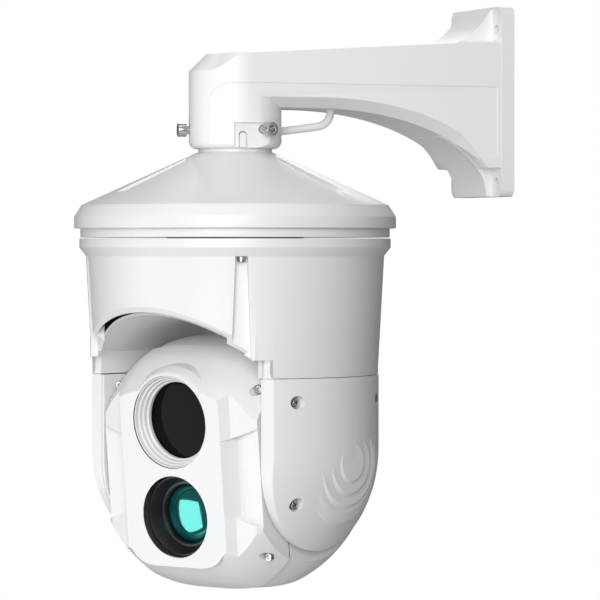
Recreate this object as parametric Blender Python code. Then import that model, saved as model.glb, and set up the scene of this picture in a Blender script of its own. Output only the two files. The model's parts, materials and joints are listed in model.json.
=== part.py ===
"""Outdoor pan-tilt camera with a visible and a thermal lens, hung from a cast wall bracket.

Fixed pieces are built in world axes: the wall is the plane Y = 0, the arm runs towards -Y, +Z is up.
Turning pieces are built round the tilt centre, with X along the tilt axis and the lenses looking
along -Y, and hang on two empties that hold the rest pose.
"""

import math

import bmesh
import bpy
from mathutils import Matrix, Vector

MM = 0.001

# Place of the axes and the rest pose
REACH = 271.5 * MM
TILT_HEIGHT = -343 * MM
PAN_REST = math.radians(28)
TILT_REST = math.radians(5.5)

# Wall bracket
FLANGE_HALF_WIDTH = 53.25 * MM
FLANGE_TOP = 92 * MM
FLANGE_BOTTOM = -92 * MM
FLANGE_THICKNESS = 14 * MM
FLANGE_CORNER = 8 * MM
BOLT_X = 42 * MM
BOLT_TOP = 70 * MM
BOLT_BOTTOM = -78 * MM
BOLT_HOLE_R = 4.5 * MM
WEB_HALF_WIDTH = 33 * MM
HEAD_R = 44 * MM
HEAD_BOTTOM = -47.5 * MM
HEAD_TOP = 41.9 * MM
HEAD_CHAMFER = 16.2 * MM
ARM_EDGE = 1.5 * MM
ARM_FOOT = -75 * MM
EYE_R = 3.8 * MM
ARCH_CENTRE_Y = -200 * MM
ARCH_CENTRE_Z = -90 * MM
ARCH_HALF_LENGTH = 180 * MM
ARCH_HEIGHT = 81.5 * MM
NECK_BORE_R = 36.2 * MM
LOCK_SCREW_Z = -29.8 * MM
LOCK_SCREW_SEAT = 47 * MM
LOCK_SCREW_ANGLES = (-103.5, 16.5, 136.5)
KEY_ANGLE = math.radians(-13)
PAD_ANGLE = math.radians(-5)
BOLT_POCKET_TOP = -64 * MM

# Camera dome, heights above the tilt axis
RING_R = 147.7 * MM
BODY_TOP_R = 141.5 * MM
SEAM_R = 135.4 * MM
RING_TOP = 210.5 * MM
RING_BOTTOM = 202 * MM
BODY_TOP = 194 * MM
SEAM = 82 * MM
WALL = 3 * MM
ARCH_R = 136 * MM
LINER_R = 140 * MM
LINER_WALL = 2.5 * MM
INNER_WALL_X = 94.6 * MM
LOBE_R = 136.3 * MM
LOBE_SPHERE_Z = 12 * MM
LOBE_DEPTH = 81 * MM
COLUMN_X = 109 * MM
CHANNEL_ANGLE = math.radians(41)

# Tilting head
HEAD_BALL_R = 123 * MM
HEAD_HALF_WIDTH = 92 * MM
HEAD_EDGE_DROP = 21.4 * MM
HEAD_CROWN_POWER = 3.2
FACE_Y = -96.7 * MM
SPLIT_Y = -42 * MM
FACE_HALF_WIDTH = 56.3 * MM
PLATE_TOP = 72 * MM
PLATE_FOOT = -87 * MM
PLATE_SLANT = 22 * MM
WINDOW_Z = 49 * MM
WINDOW_R = 41 * MM
COLLAR_R = 46 * MM
THERMAL_Z = -40 * MM
THERMAL_R = 38.5 * MM

# Gears
MODULE = 1.5 * MM
PAN_GEAR_TEETH = 58
PAN_PINION_TEETH = 14
TILT_GEAR_TEETH = 40
TILT_PINION_TEETH = 14
PAN_GEAR_CENTRES = MODULE * (PAN_GEAR_TEETH + PAN_PINION_TEETH) / 2
TILT_GEAR_CENTRES = MODULE * (TILT_GEAR_TEETH + TILT_PINION_TEETH) / 2

GAP = 0.3 * MM
ROUND = 48
FINE = 32
SMALL = 16
SCREW_SIDES = 8


# ---------------------------------------------------------------- meshes


def loft(sections):
    """A solid through rings of equal length, closed by a flat face at each end."""
    bm = bmesh.new()
    rings = [[bm.verts.new(point) for point in section] for section in sections]
    for first, second in zip(rings, rings[1:]):
        for i in range(len(first)):
            j = (i + 1) % len(first)
            bm.faces.new((first[i], first[j], second[j], second[i]))
    bm.faces.new(rings[0][::-1])
    bm.faces.new(rings[-1])
    bmesh.ops.recalc_face_normals(bm, faces=bm.faces)
    return bm


def prism(outline, axis, low, high):
    """A flat outline pushed along X, Y or Z. Its points are the other two coordinates, in order."""
    def place(point, along):
        values = list(point)
        values.insert("XYZ".index(axis), along)
        return Vector(values)

    return loft([[place(p, low) for p in outline], [place(p, high) for p in outline]])


def box(low, high):
    corners = [(low[0], low[1]), (high[0], low[1]), (high[0], high[1]), (low[0], high[1])]
    return prism(corners, "Z", low[2], high[2])


def lathe(profile, segments, axis="Z"):
    """A closed (radius, height) outline turned about an axis. Points at radius 0 stay single."""
    bm = bmesh.new()
    rings = []
    for radius, height in profile:
        count = segments if radius > 0 else 1
        turns = [2 * math.pi * k / segments for k in range(count)]
        rings.append(
            [bm.verts.new((radius * math.cos(t), radius * math.sin(t), height)) for t in turns]
        )
    for first, second in zip(rings, rings[1:] + rings[:1]):
        if len(first) == len(second) == 1:
            continue
        for k in range(segments):
            n = (k + 1) % segments
            corners = (
                first[k % len(first)],
                first[n % len(first)],
                second[n % len(second)],
                second[k % len(second)],
            )
            bm.faces.new(list(dict.fromkeys(corners)))
    if axis == "X":
        bmesh.ops.rotate(bm, verts=bm.verts, matrix=Matrix.Rotation(math.pi / 2, 3, "Y"))
    if axis == "-X":
        bmesh.ops.rotate(bm, verts=bm.verts, matrix=Matrix.Rotation(-math.pi / 2, 3, "Y"))
    if axis == "-Y":
        bmesh.ops.rotate(bm, verts=bm.verts, matrix=Matrix.Rotation(math.pi / 2, 3, "X"))
    bmesh.ops.recalc_face_normals(bm, faces=bm.faces)
    return bm


def rod(radius, low, high, segments=SMALL, axis="Z"):
    return lathe([(0, low), (radius, low), (radius, high), (0, high)], segments, axis)


def moved(bm, offset):
    bmesh.ops.translate(bm, verts=bm.verts, vec=Vector(offset))
    return bm


def turned(bm, angle, axis="Z"):
    bmesh.ops.rotate(bm, verts=bm.verts, matrix=Matrix.Rotation(angle, 3, axis))
    return bm


def gathered(pieces):
    """Several separate closed shells in one mesh, for use as one cutter."""
    whole = bmesh.new()
    for piece in pieces:
        copies = {v: whole.verts.new(v.co) for v in piece.verts}
        for face in piece.faces:
            whole.faces.new([copies[v] for v in face.verts])
        piece.free()
    return whole


def arc(centre, radius, start, end, steps):
    """Points on an arc, angles in degrees from the first axis."""
    angles = [math.radians(start + (end - start) * k / steps) for k in range(steps + 1)]
    return [
        (centre[0] + radius * math.cos(a), centre[1] + radius * math.sin(a)) for a in angles
    ]


def tube(path, radius, sides):
    """A round bar along a path in the plane X = 0."""
    sections = []
    for i, point in enumerate(path):
        before = path[max(i - 1, 0)]
        after = path[min(i + 1, len(path) - 1)]
        along = Vector((0, after[0] - before[0], after[1] - before[1])).normalized()
        across = Vector((1, 0, 0)).cross(along)
        turns = [2 * math.pi * k / sides for k in range(sides)]
        centre = Vector((0, point[0], point[1]))
        sections.append(
            [
                centre + radius * (math.cos(t) * Vector((1, 0, 0)) + math.sin(t) * across)
                for t in turns
            ]
        )
    return loft(sections)


def gear(teeth, low, high, bore):
    """A spur gear with straight-sided teeth, turned so that a tooth points along +X."""
    pitch_r = MODULE * teeth / 2
    tip_r = pitch_r + 0.8 * MODULE
    root_r = pitch_r - 1.1 * MODULE
    step = 2 * math.pi / teeth
    outline = []
    for k in range(teeth):
        for share, radius in ((-0.25, root_r), (-0.11, tip_r), (0.11, tip_r), (0.25, root_r)):
            a = step * (k + share)
            outline.append((radius * math.cos(a), radius * math.sin(a)))
    blank = helper(prism(outline, "Z", low, high))
    hole = rod(bore, low - 1 * MM, high + 1 * MM)
    return blank, hole


# ---------------------------------------------------------------- objects

MATERIALS = {}


def material(name, colour, roughness, metallic=0.0):
    if name not in MATERIALS:
        made = bpy.data.materials.new(name)
        made.use_nodes = True
        shader = made.node_tree.nodes["Principled BSDF"]
        shader.inputs["Base Color"].default_value = (*colour, 1)
        shader.inputs["Roughness"].default_value = roughness
        shader.inputs["Metallic"].default_value = metallic
        MATERIALS[name] = made
    return MATERIALS[name]


def make(name, bm, finish, parent=None):
    """A named object with its material, shaded smooth except at its sharp edges."""
    mesh = bpy.data.meshes.new(name)
    bm.to_mesh(mesh)
    bm.free()
    mesh.shade_smooth()
    mesh.set_sharp_from_angle(angle=math.radians(30))
    mesh.materials.append(material(*finish))
    obj = bpy.data.objects.new(name, mesh)
    obj.parent = parent
    bpy.context.scene.collection.objects.link(obj)
    return obj


def helper(bm, parent=None):
    """A shape that only cuts, joins or trims others."""
    obj = make("helper", bm, ("helper", (1, 0, 0), 0.5), parent)
    obj.hide_render = True
    obj.display_type = "WIRE"
    return obj


def combine(obj, operation, other):
    modifier = obj.modifiers.new(operation.lower(), "BOOLEAN")
    modifier.operation = operation
    modifier.solver = "EXACT"
    modifier.object = other
    return obj


def cut(obj, bm):
    return combine(obj, "DIFFERENCE", helper(bm, obj.parent))


def join(obj, bm):
    return combine(obj, "UNION", helper(bm, obj.parent))


def trim(obj, bm):
    return combine(obj, "INTERSECT", helper(bm, obj.parent))


def empty(name, location, parent=None):
    obj = bpy.data.objects.new(name, None)
    obj.location = location
    obj.parent = parent
    bpy.context.scene.collection.objects.link(obj)
    return obj


WHITE = ("white_paint", (0.86, 0.87, 0.88), 0.32)
CASTING = ("casting_paint", (0.80, 0.81, 0.82), 0.42)
STEEL = ("stainless_steel", (0.62, 0.61, 0.59), 0.28, 1.0)
ALLOY = ("machined_alloy", (0.70, 0.71, 0.72), 0.40, 1.0)
DARK = ("dark_plastic", (0.05, 0.05, 0.055), 0.55)
BLACK = ("black_anodised", (0.02, 0.02, 0.022), 0.40)
GLASS = ("window_glass", (0.02, 0.02, 0.03), 0.03)
COATED = ("coated_germanium", (0.02, 0.30, 0.28), 0.08)
BOARD = ("circuit_board", (0.03, 0.22, 0.10), 0.50)
GEAR = ("gear_plastic", (0.80, 0.78, 0.70), 0.45)
SEAL = ("seal_rubber", (0.06, 0.06, 0.06), 0.80)


def screw(name, head_r, head_height, shank_r, length, matrix, parent):
    """A cap screw. Its head sits on the local plane Z = 0 and its shank runs down."""
    profile = [(0, head_height), (head_r, head_height), (head_r, 0)]
    profile += [(shank_r, 0), (shank_r, -length), (0, -length)]
    bm = lathe(profile, SCREW_SIDES)
    bm.transform(matrix)
    return make(name, bm, STEEL, parent)


def pointing(direction, location):
    """A matrix that turns +Z to a direction and moves it to a place."""
    turn = Vector((0, 0, 1)).rotation_difference(Vector(direction)).to_matrix().to_4x4()
    return Matrix.Translation(Vector(location)) @ turn


# ---------------------------------------------------------------- wall bracket


def arch_height(y):
    """Underside of the arm: a quarter ellipse that drops to the foot of the flange."""
    share = min(max((y - ARCH_CENTRE_Y) / ARCH_HALF_LENGTH, 0), 1)
    return ARCH_CENTRE_Z + ARCH_HEIGHT * math.sqrt(1 - share * share)


def arm_section(y):
    along = (y + REACH) / (REACH - FLANGE_THICKNESS)
    half_width = 43.95 * MM + 9 * MM * along
    top = HEAD_TOP - 0.05 * MM + 0.065 * (y + REACH)
    inset = ARM_EDGE
    bottom = max(arch_height(y), ARM_FOOT)
    fade = min(max((-30 * MM - y) / (25 * MM), 0.05), 1)
    half = [
        (half_width - inset, top),
        (half_width, top - inset),
        (half_width, bottom + 10 * MM * fade),
        (half_width - 15 * MM * fade, bottom),
    ]
    ring = half + [(-x, z) for x, z in reversed(half)]
    return [Vector((x, y, z)) for x, z in ring]


def head_chamfer(turn):
    """Full at the front of the head, fading to the arm's small edge at its sides."""
    from_front = abs((turn + math.pi / 2 + math.pi) % (2 * math.pi) - math.pi)
    share = min(max((from_front - math.radians(35)) / math.radians(45), 0), 1)
    fade = share * share * (3 - 2 * share)
    return HEAD_CHAMFER * (1 - fade) + ARM_EDGE * fade


def bracket_head():
    """A drum with a rounded foot, chamfered round the front of its top."""
    turns = [2 * math.pi * k / FINE for k in range(FINE)]
    levels = [(HEAD_R - 6 * MM, HEAD_BOTTOM), (HEAD_R - 2 * MM, HEAD_BOTTOM + 2 * MM)]
    levels += [(HEAD_R, HEAD_BOTTOM + 6 * MM)]
    rings = [
        [Vector((r * math.cos(t), r * math.sin(t), z)) for t in turns] for r, z in levels
    ]
    shoulder = []
    crown_ring = []
    for t in turns:
        size = head_chamfer(t)
        inner = HEAD_R - size
        shoulder.append(Vector((HEAD_R * math.cos(t), HEAD_R * math.sin(t), HEAD_TOP - size)))
        crown_ring.append(Vector((inner * math.cos(t), inner * math.sin(t), HEAD_TOP)))
    return loft([*rings, shoulder, crown_ring])


def wall_bracket():
    corners = (
        (FLANGE_HALF_WIDTH, FLANGE_TOP, 0),
        (-FLANGE_HALF_WIDTH, FLANGE_TOP, 90),
        (-FLANGE_HALF_WIDTH, FLANGE_BOTTOM, 180),
        (FLANGE_HALF_WIDTH, FLANGE_BOTTOM, 270),
    )
    outline = []
    for x, z, start in corners:
        centre = (x - math.copysign(FLANGE_CORNER, x), z - math.copysign(FLANGE_CORNER, z))
        outline += arc(centre, FLANGE_CORNER, start, start + 90, 4)
    obj = make("wall_bracket", prism(outline, "Y", -FLANGE_THICKNESS, 0), CASTING)

    # The arm and the web that stiffens it above and below
    stations = [-267, -222, -195, -170, -145, -120, -100, -82, -66, -54, -45, -38, -31, -24, -12]
    join(obj, loft([arm_section(y * MM) for y in stations]))
    gusset = arc((-80 * MM, 125 * MM), 73.5 * MM, -28.7, -68, 6)
    arch = [y * MM for y in (-70, -60, -50, -42, -35, -29, -24, -21)]
    web = [(-8 * MM, -91.7 * MM), (-8 * MM, 89.7 * MM), *gusset, (-75 * MM, 20 * MM)]
    web += [(y, arch_height(y) - 0.5 * MM) for y in arch] + [(-20.5 * MM, -91.7 * MM)]
    join(obj, prism([(y, z) for y, z in web], "X", -WEB_HALF_WIDTH, WEB_HALF_WIDTH))

    join(obj, moved(bracket_head(), (0, -REACH, 0)))

    # Eye for a safety rope, from the back of the head up to the arm
    eye = [(-231 * MM, -31 * MM), (-219 * MM, -29.5 * MM), (-188 * MM, -25.5 * MM)]
    eye += arc((-186.5 * MM, -10 * MM), 15 * MM, -75, 0, 5) + [(-171 * MM, -4 * MM)]
    join(obj, tube(eye, EYE_R, 10))

    # Bore for the neck, room above it, and the cable duct out to the wall
    low = HEAD_BOTTOM - 5 * MM
    bore = [(0, low), (NECK_BORE_R, low), (NECK_BORE_R, -12 * MM)]
    bore += [(30 * MM, -12 * MM), (30 * MM, 25 * MM), (0, 25 * MM)]
    cut(obj, moved(lathe(bore, FINE), (0, -REACH, 0)))
    cut(obj, box((-22 * MM, -250 * MM, 4 * MM), (22 * MM, 5 * MM, 23 * MM)))

    holes = []
    for x in (-BOLT_X, BOLT_X):
        for z in (BOLT_TOP, BOLT_BOTTOM):
            hole = rod(BOLT_HOLE_R, -5 * MM, 30 * MM, 16, "-Y")
            holes.append(moved(hole, (x, 0, z)))
    for angle in LOCK_SCREW_ANGLES:
        hole = turned(rod(4.3 * MM, 30 * MM, 52 * MM, 12, "X"), math.radians(angle))
        holes.append(moved(hole, (0, -REACH, LOCK_SCREW_Z)))
    cut(obj, gathered(holes))

    # Room for the lower wall bolts, beside the web
    pockets = []
    for side in (-1, 1):
        low_x, high_x = sorted((side * WEB_HALF_WIDTH, side * 70 * MM))
        pockets.append(
            box((low_x, -39 * MM, -90 * MM), (high_x, -FLANGE_THICKNESS, BOLT_POCKET_TOP))
        )
    cut(obj, gathered(pockets))

    # A flat beside the near lock screw, and the slot for the neck's key
    pad = box((38.5 * MM, -14.2 * MM, HEAD_BOTTOM - 5 * MM), (60 * MM, 30 * MM, -23.7 * MM))
    cut(obj, moved(turned(pad, PAD_ANGLE), (0, -REACH, 0)))
    slot = box((30 * MM, -3.5 * MM, HEAD_BOTTOM - 5 * MM), (50 * MM, 3.5 * MM, -31.5 * MM))
    cut(obj, moved(turned(slot, KEY_ANGLE), (0, -REACH, 0)))

    # The arm's flanks twist, so their faces aren't flat, and the exact solver leaves gaps in them
    for modifier in obj.modifiers:
        modifier.solver = "MANIFOLD"


def bracket_screws(axis):
    for number, angle in enumerate(LOCK_SCREW_ANGLES, 1):
        a = math.radians(angle)
        out = Vector((math.cos(a), math.sin(a), 0))
        seat = pointing(out, LOCK_SCREW_SEAT * out + Vector((0, 0, LOCK_SCREW_Z)))
        screw(f"bracket_screw_{number}", 6.5 * MM, 8.2 * MM, 4 * MM, 11.5 * MM, seat, axis)


# ---------------------------------------------------------------- fixed pieces of the dome


def turned_piece(name, profile, finish, parent, segments=FINE):
    return make(name, lathe([(r * MM, z * MM) for r, z in profile], segments), finish, parent)


def fixed_pieces(axis):
    neck = turned_piece(
        "neck_adapter",
        [(24, -14), (33.5, -14), (35, -15.5), (35, -62), (49, -62), (49, -66), (24, -66)],
        WHITE,
        axis,
    )
    key = box((33 * MM, -3.1 * MM, -47 * MM), (38 * MM, 3.1 * MM, -33 * MM))
    join(neck, turned(key, KEY_ANGLE))
    turned_piece(
        "sunshield_cap",
        [
            (35.3, -50.5),
            (145.8, -101),
            (152.7, -112),
            (152.7, -123),
            (149.7, -123),
            (149.7, -112.9),
            (143.8, -103.6),
            (35.3, -53.8),
        ],
        WHITE,
        axis,
        ROUND,
    )
    turned_piece(
        "base_ring",
        [
            (12, -124),
            (12, -130),
            (38, -130),
            (38, -148),
            (44, -148),
            (44, -130),
            (141, -130),
            (141, -131.5),
            (146.8, -131.5),
            (146.8, -109),
            (142.8, -109),
            (142.8, -124),
            (50, -124),
            (50, -66.3),
            (26, -66.3),
            (26, -71),
            (44, -71),
            (44, -124),
        ],
        WHITE,
        axis,
    )
    race = [(44.3, -132), (50, -132), (50, -146), (44.3, -146)]
    turned_piece("pan_bearing_inner", race, STEEL, axis)
    turned_piece(
        "slip_ring_stator",
        [(0, -112), (18, -112), (18, -123.7), (11.5, -123.7), (11.5, -157), (0, -157)],
        DARK,
        axis,
        SMALL,
    )
    blank, bore = gear(PAN_GEAR_TEETH, -154.3 * MM, -148.3 * MM, 20 * MM)
    finish_gear("pan_ring_gear", blank, bore, STEEL, axis)


def finish_gear(name, blank, bore, finish, parent):
    """Turns the gear blank into the named object and bores it."""
    blank.name = name
    blank.hide_render = False
    blank.display_type = "TEXTURED"
    blank.parent = parent
    blank.data.materials.clear()
    blank.data.materials.append(material(*finish))
    cut(blank, bore)
    return blank


# ---------------------------------------------------------------- turning pieces


def housing(pan):
    outer = [
        (RING_R - WALL, RING_TOP),
        (RING_R, RING_TOP),
        (RING_R, RING_BOTTOM),
        (BODY_TOP_R, BODY_TOP),
        (SEAM_R, SEAM + 0.2 * MM),
        (SEAM_R - WALL, SEAM + 0.2 * MM),
        (BODY_TOP_R - WALL, BODY_TOP - 0.8 * MM),
        (RING_R - WALL, RING_BOTTOM - 0.8 * MM),
    ]
    obj = make("upper_housing", lathe(outer, ROUND), WHITE, pan)
    for side in (0, math.pi):
        for angle in (-CHANNEL_ANGLE, CHANNEL_ANGLE):
            pad = box((-13 * MM, -138 * MM, SEAM + 1 * MM), (13 * MM, -128 * MM, 200 * MM))
            join(obj, turned(pad, angle + side))
    grooves = []
    for side in (0, math.pi):
        for angle in (-CHANNEL_ANGLE, CHANNEL_ANGLE):
            top = [(-6.4, -150), (6.4, -150), (5.2, -132), (-5.2, -132)]
            foot = [(-10.5, -150), (10.5, -150), (9, -132), (-9, -132)]
            sections = [
                [Vector((x * MM, y * MM, SEAM)) for x, y in foot],
                [Vector((x * MM, y * MM, BODY_TOP)) for x, y in top],
            ]
            grooves.append(turned(loft(sections), angle + side))
            hole = moved(rod(2.6 * MM, BODY_TOP - 2 * MM, 205 * MM, 10), (0, -136.4 * MM, 0))
            grooves.append(turned(hole, angle + side))
    for groove in grooves:
        cut(obj, groove)

    # The arch runs straight through from front to back
    cut(obj, rod(ARCH_R, -160 * MM, 160 * MM, ROUND, "-Y"))
    for x in (-1, 1):
        for y in (-1, 1):
            low_x, high_x = sorted((x * 97.4 * MM, x * COLUMN_X))
            low_y, high_y = sorted((y * 78 * MM, y * LOBE_DEPTH))
            join(obj, box((low_x, low_y, SEAM + 0.2 * MM), (high_x, high_y, 99 * MM)))


def liner(pan):
    half = INNER_WALL_X
    inner_end = math.degrees(math.acos(half / LINER_R))
    outer_r = LINER_R + LINER_WALL
    outer_end = math.degrees(math.acos((half + LINER_WALL) / outer_r))
    foot = SEAM + 0.5 * MM
    outline = [(half, foot)] + arc((0, 0), LINER_R, inner_end, 180 - inner_end, 16)
    outline += [(-half, foot), (-half - LINER_WALL, foot)]
    outline += arc((0, 0), outer_r, 180 - outer_end, outer_end, 16)
    outline += [(half + LINER_WALL, foot)]
    obj = make("cavity_liner", prism(outline, "Y", -140 * MM, 140 * MM), WHITE, pan)
    trim(obj, rod(127.3 * MM, 0, 160 * MM, FINE))


def lobe_outline(size, top):
    """Side view of a lobe: straight sides closed below by an arc about the tilt axis."""
    return [(-size, top)] + arc((0, 0), size, 180, 360, 20) + [(size, top)]


def lobe_body(radius):
    """Drum above, ball below."""
    profile = [(0, 120 * MM), (radius, 120 * MM)]
    profile += [(x, LOBE_SPHERE_Z + z) for x, z in arc((0, 0), radius, 0, -84, 8)]
    return lathe([*profile, (0, LOBE_SPHERE_Z - radius)], 40)


# Screws of a side cover: distance behind the tilt axis, height, and how far out its surface lies, in mm
SCREW_SEAT_DEPTH = 9
SIDE_SCREWS = ((61, 60, 121.9), (-61, 60, 121.9), (55, -34, 115.9), (-55, -34, 115.9))


def lobe(name, side, pan):
    low, high = sorted((side * 97.4 * MM, side * 150 * MM))
    obj = make(name, prism(lobe_outline(LOBE_DEPTH, SEAM - 0.2 * MM), "X", low, high), WHITE, pan)
    trim(obj, lobe_body(LOBE_R))
    axis = "X" if side > 0 else "-X"
    steps = [(0, 112), (66, 116), (55, 127), (46, 127.4), (42, 130.2), (33, 130.6)]
    steps += [(30, 133), (20, 133.4), (17, 135.4), (0, 135.4)]
    join(obj, lathe([(r * MM, z * MM) for r, z in steps], 24, axis))

    hollow_low, hollow_high = sorted((side * 90 * MM, side * 150 * MM))
    outline = lobe_outline(LOBE_DEPTH - WALL, SEAM + 20 * MM)
    hollow = helper(prism(outline, "X", hollow_low, hollow_high), pan)
    trim(hollow, lobe_body(LOBE_R - WALL))
    bosses = [
        moved(rod(8.5 * MM, 80 * MM, 150 * MM, 12, axis), (0, y * MM, z * MM))
        for y, z, _ in SIDE_SCREWS
    ]
    cut(hollow, gathered(bosses))
    combine(obj, "DIFFERENCE", hollow)
    holes = []
    for y, z, surface in SIDE_SCREWS:
        seat = surface - SCREW_SEAT_DEPTH
        profile = [(0, 90), (2.8, 90), (2.8, seat), (6.2, seat), (6.2, 150), (0, 150)]
        hole = lathe([(r * MM, h * MM) for r, h in profile], 14, axis)
        holes.append(moved(hole, (0, y * MM, z * MM)))
    cut(obj, gathered(holes))
    for number, (y, z, surface) in enumerate(SIDE_SCREWS, 1 if side > 0 else 5):
        seat = (surface - SCREW_SEAT_DEPTH) * MM + GAP
        place = pointing((side, 0, 0), (side * seat, y * MM, z * MM))
        length = seat - 98 * MM
        screw(f"side_screw_{number}", 4.25 * MM, 5 * MM, 2.5 * MM, length, place, pan)


def arm_shell(name, side, pan):
    low, high = sorted((side * INNER_WALL_X, side * 97.1 * MM))
    outline = lobe_outline(LOBE_DEPTH - GAP, SEAM - 0.5 * MM)
    obj = make(name, prism(outline, "X", low, high), WHITE, pan)
    axis = "X" if side > 0 else "-X"
    cut(obj, rod(17 * MM, 80 * MM, 110 * MM, FINE, axis))


def yoke(pan):
    obj = turned_piece(
        "yoke_frame",
        [
            (57.3, 211.5),
            (65, 211.5),
            (74, 197),
            (74, 183),
            (127.3, 183),
            (127.3, 178),
            (15, 178),
            (15, 183),
            (67, 183),
            (67, 195.5),
            (57.3, 195.5),
        ],
        ALLOY,
        pan,
    )
    for side in (-1, 1):
        low, high = sorted((side * 99.5 * MM, side * 104.5 * MM))
        join(obj, box((low, -30 * MM, -26 * MM), (high, 30 * MM, 180.5 * MM)))
    shelf = box((-129 * MM, -14 * MM, 58.5 * MM), (-102 * MM, 14 * MM, 62.5 * MM))
    join(obj, shelf)
    cut(obj, rod(14.3 * MM, -140 * MM, 140 * MM, FINE, "X"))
    cut(obj, moved(rod(5 * MM, 170 * MM, 190 * MM, 16), (0, PAN_GEAR_CENTRES, 0)))


def drives(pan):
    motor = box((-21 * MM, -21 * MM, 145.5 * MM), (21 * MM, 21 * MM, 177.7 * MM))
    bmesh.ops.bevel(
        motor,
        geom=[e for e in motor.edges if abs(e.verts[0].co.z - e.verts[1].co.z) > 1 * MM],
        offset=4 * MM,
        segments=1,
        affect="EDGES",
    )
    make("pan_motor", moved(motor, (0, PAN_GEAR_CENTRES, 0)), DARK, pan)
    can = rod(17 * MM, 114.5 * MM, 128.8 * MM, 24, "-X")
    make("tilt_motor", moved(can, (0, 0, TILT_GEAR_CENTRES)), DARK, pan)
    board = make(
        "main_board",
        box((-55 * MM, -95 * MM, 169.4 * MM), (55 * MM, -25 * MM, 171 * MM)),
        BOARD,
        pan,
    )
    for x, y, size, tall in ((-30, -70, 12, 3), (5, -60, 9, 3), (35, -75, 14, 6), (30, -42, 8, 5)):
        low = ((x - size) * MM, (y - size) * MM, 170 * MM)
        high = ((x + size) * MM, (y + size) * MM, (171 + tall) * MM)
        join(board, box(low, high))
    race = [(50.5, 211), (57, 211), (57, 197), (50.5, 197)]
    turned_piece("pan_bearing_outer", race, STEEL, pan)
    turned_piece(
        "slip_ring_rotor",
        [
            (0, 185.6),
            (9, 185.6),
            (9, 177.7),
            (19, 177.7),
            (19, 174.7),
            (9, 174.7),
            (9, 157),
            (0, 157),
        ],
        DARK,
        pan,
        SMALL,
    )
    for name, axis in (("tilt_bearing_right", "X"), ("tilt_bearing_left", "-X")):
        ring = [(8.3, 99.8), (14, 99.8), (14, 104.2), (8.3, 104.2)]
        make(name, lathe([(r * MM, z * MM) for r, z in ring], 24, axis), STEEL, pan)
    number = 0
    for side in (0, math.pi):
        for angle in (-CHANNEL_ANGLE, CHANNEL_ANGLE):
            number += 1
            turn = angle + side
            place = Vector((136.4 * math.sin(turn), -136.4 * math.cos(turn), 193.7)) * MM
            seat = pointing((0, 0, -1), place)
            screw(f"housing_screw_{number}", 4 * MM, 5 * MM, 2.2 * MM, 6 * MM, seat, pan)


def pinions(pan):
    """Each pinion has its own empty, on its own axis."""
    pan_spin = empty("pan_pinion_axis", (0, PAN_GEAR_CENTRES, 191.7 * MM), pan)
    blank, bore = gear(PAN_PINION_TEETH, -2.7 * MM, 2.7 * MM, 1.5 * MM)
    half_tooth = math.pi / PAN_PINION_TEETH
    blank.data.transform(Matrix.Rotation(mesh_phase(PAN_GEAR_TEETH, -PAN_REST) + half_tooth, 4, "Z"))
    pinion = finish_gear("pan_pinion", blank, bore, GEAR, pan_spin)
    join(pinion, lathe(ring_profile(2.6, 1.2, -13.5, 0), 16))

    tilt_spin = empty("tilt_pinion_axis", (-109.5 * MM, 0, TILT_GEAR_CENTRES), pan)
    blank, bore = gear(TILT_PINION_TEETH, -2.5 * MM, 2.5 * MM, 1.5 * MM)
    blank.data.transform(Matrix.Rotation(math.pi / 2, 4, "Y"))
    blank.data.transform(Matrix.Rotation(half_tooth, 4, "X"))
    bore = turned(bore, math.pi / 2, "Y")
    pinion = finish_gear("tilt_pinion", blank, bore, GEAR, tilt_spin)
    join(pinion, lathe(ring_profile(2.6, 1.2, 0, 4.6), 16, "-X"))


def ring_profile(outer, inner, low, high):
    return [(r * MM, z * MM) for r, z in ((inner, low), (outer, low), (outer, high), (inner, high))]


def mesh_phase(teeth, offset):
    """Turn of a pinion behind a gear whose tooth 0 is turned by an offset from the line of centres."""
    step = 2 * math.pi / teeth
    at_pinion = math.pi / 2 - offset
    nearest = round(at_pinion / step) * step
    return -math.pi / 2 - (at_pinion - nearest) * teeth / PAN_PINION_TEETH


# ---------------------------------------------------------------- tilting head


def crown(x):
    """Radius of the head about the tilt axis, full in the middle and falling to the sides."""
    return HEAD_BALL_R - HEAD_EDGE_DROP * (abs(x) / HEAD_HALF_WIDTH) ** HEAD_CROWN_POWER


def head_body(smaller, half_width):
    steps = 8
    places = [half_width * (2 * k / steps - 1) for k in range(steps + 1)]
    profile = [(0, -half_width)] + [(crown(x) - smaller, x) for x in places] + [(0, half_width)]
    return lathe(profile, 36, "X")


def plate():
    """The raised face: straight sides with cut corners below, ending on the crown above."""
    half = FACE_HALF_WIDTH
    outline = [(-half, PLATE_TOP), (-half, PLATE_FOOT + PLATE_SLANT)]
    outline += [(PLATE_SLANT - half, PLATE_FOOT)]
    outline += [(-x, z) for x, z in reversed(outline)]
    return prism(outline, "Y", FACE_Y, -60 * MM)


EAR_X = 60.5 * MM
EAR_Y = -85.5 * MM
EAR_END_X = 86 * MM
EAR_OUTER_Y = -75 * MM
POCKET_X = 61.5 * MM
POCKET_Y = -77 * MM
CORNER_NORMAL = Vector((0.68, -0.633, 0.362)).normalized()
CORNER_DISTANCE = 127.3 * MM


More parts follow.
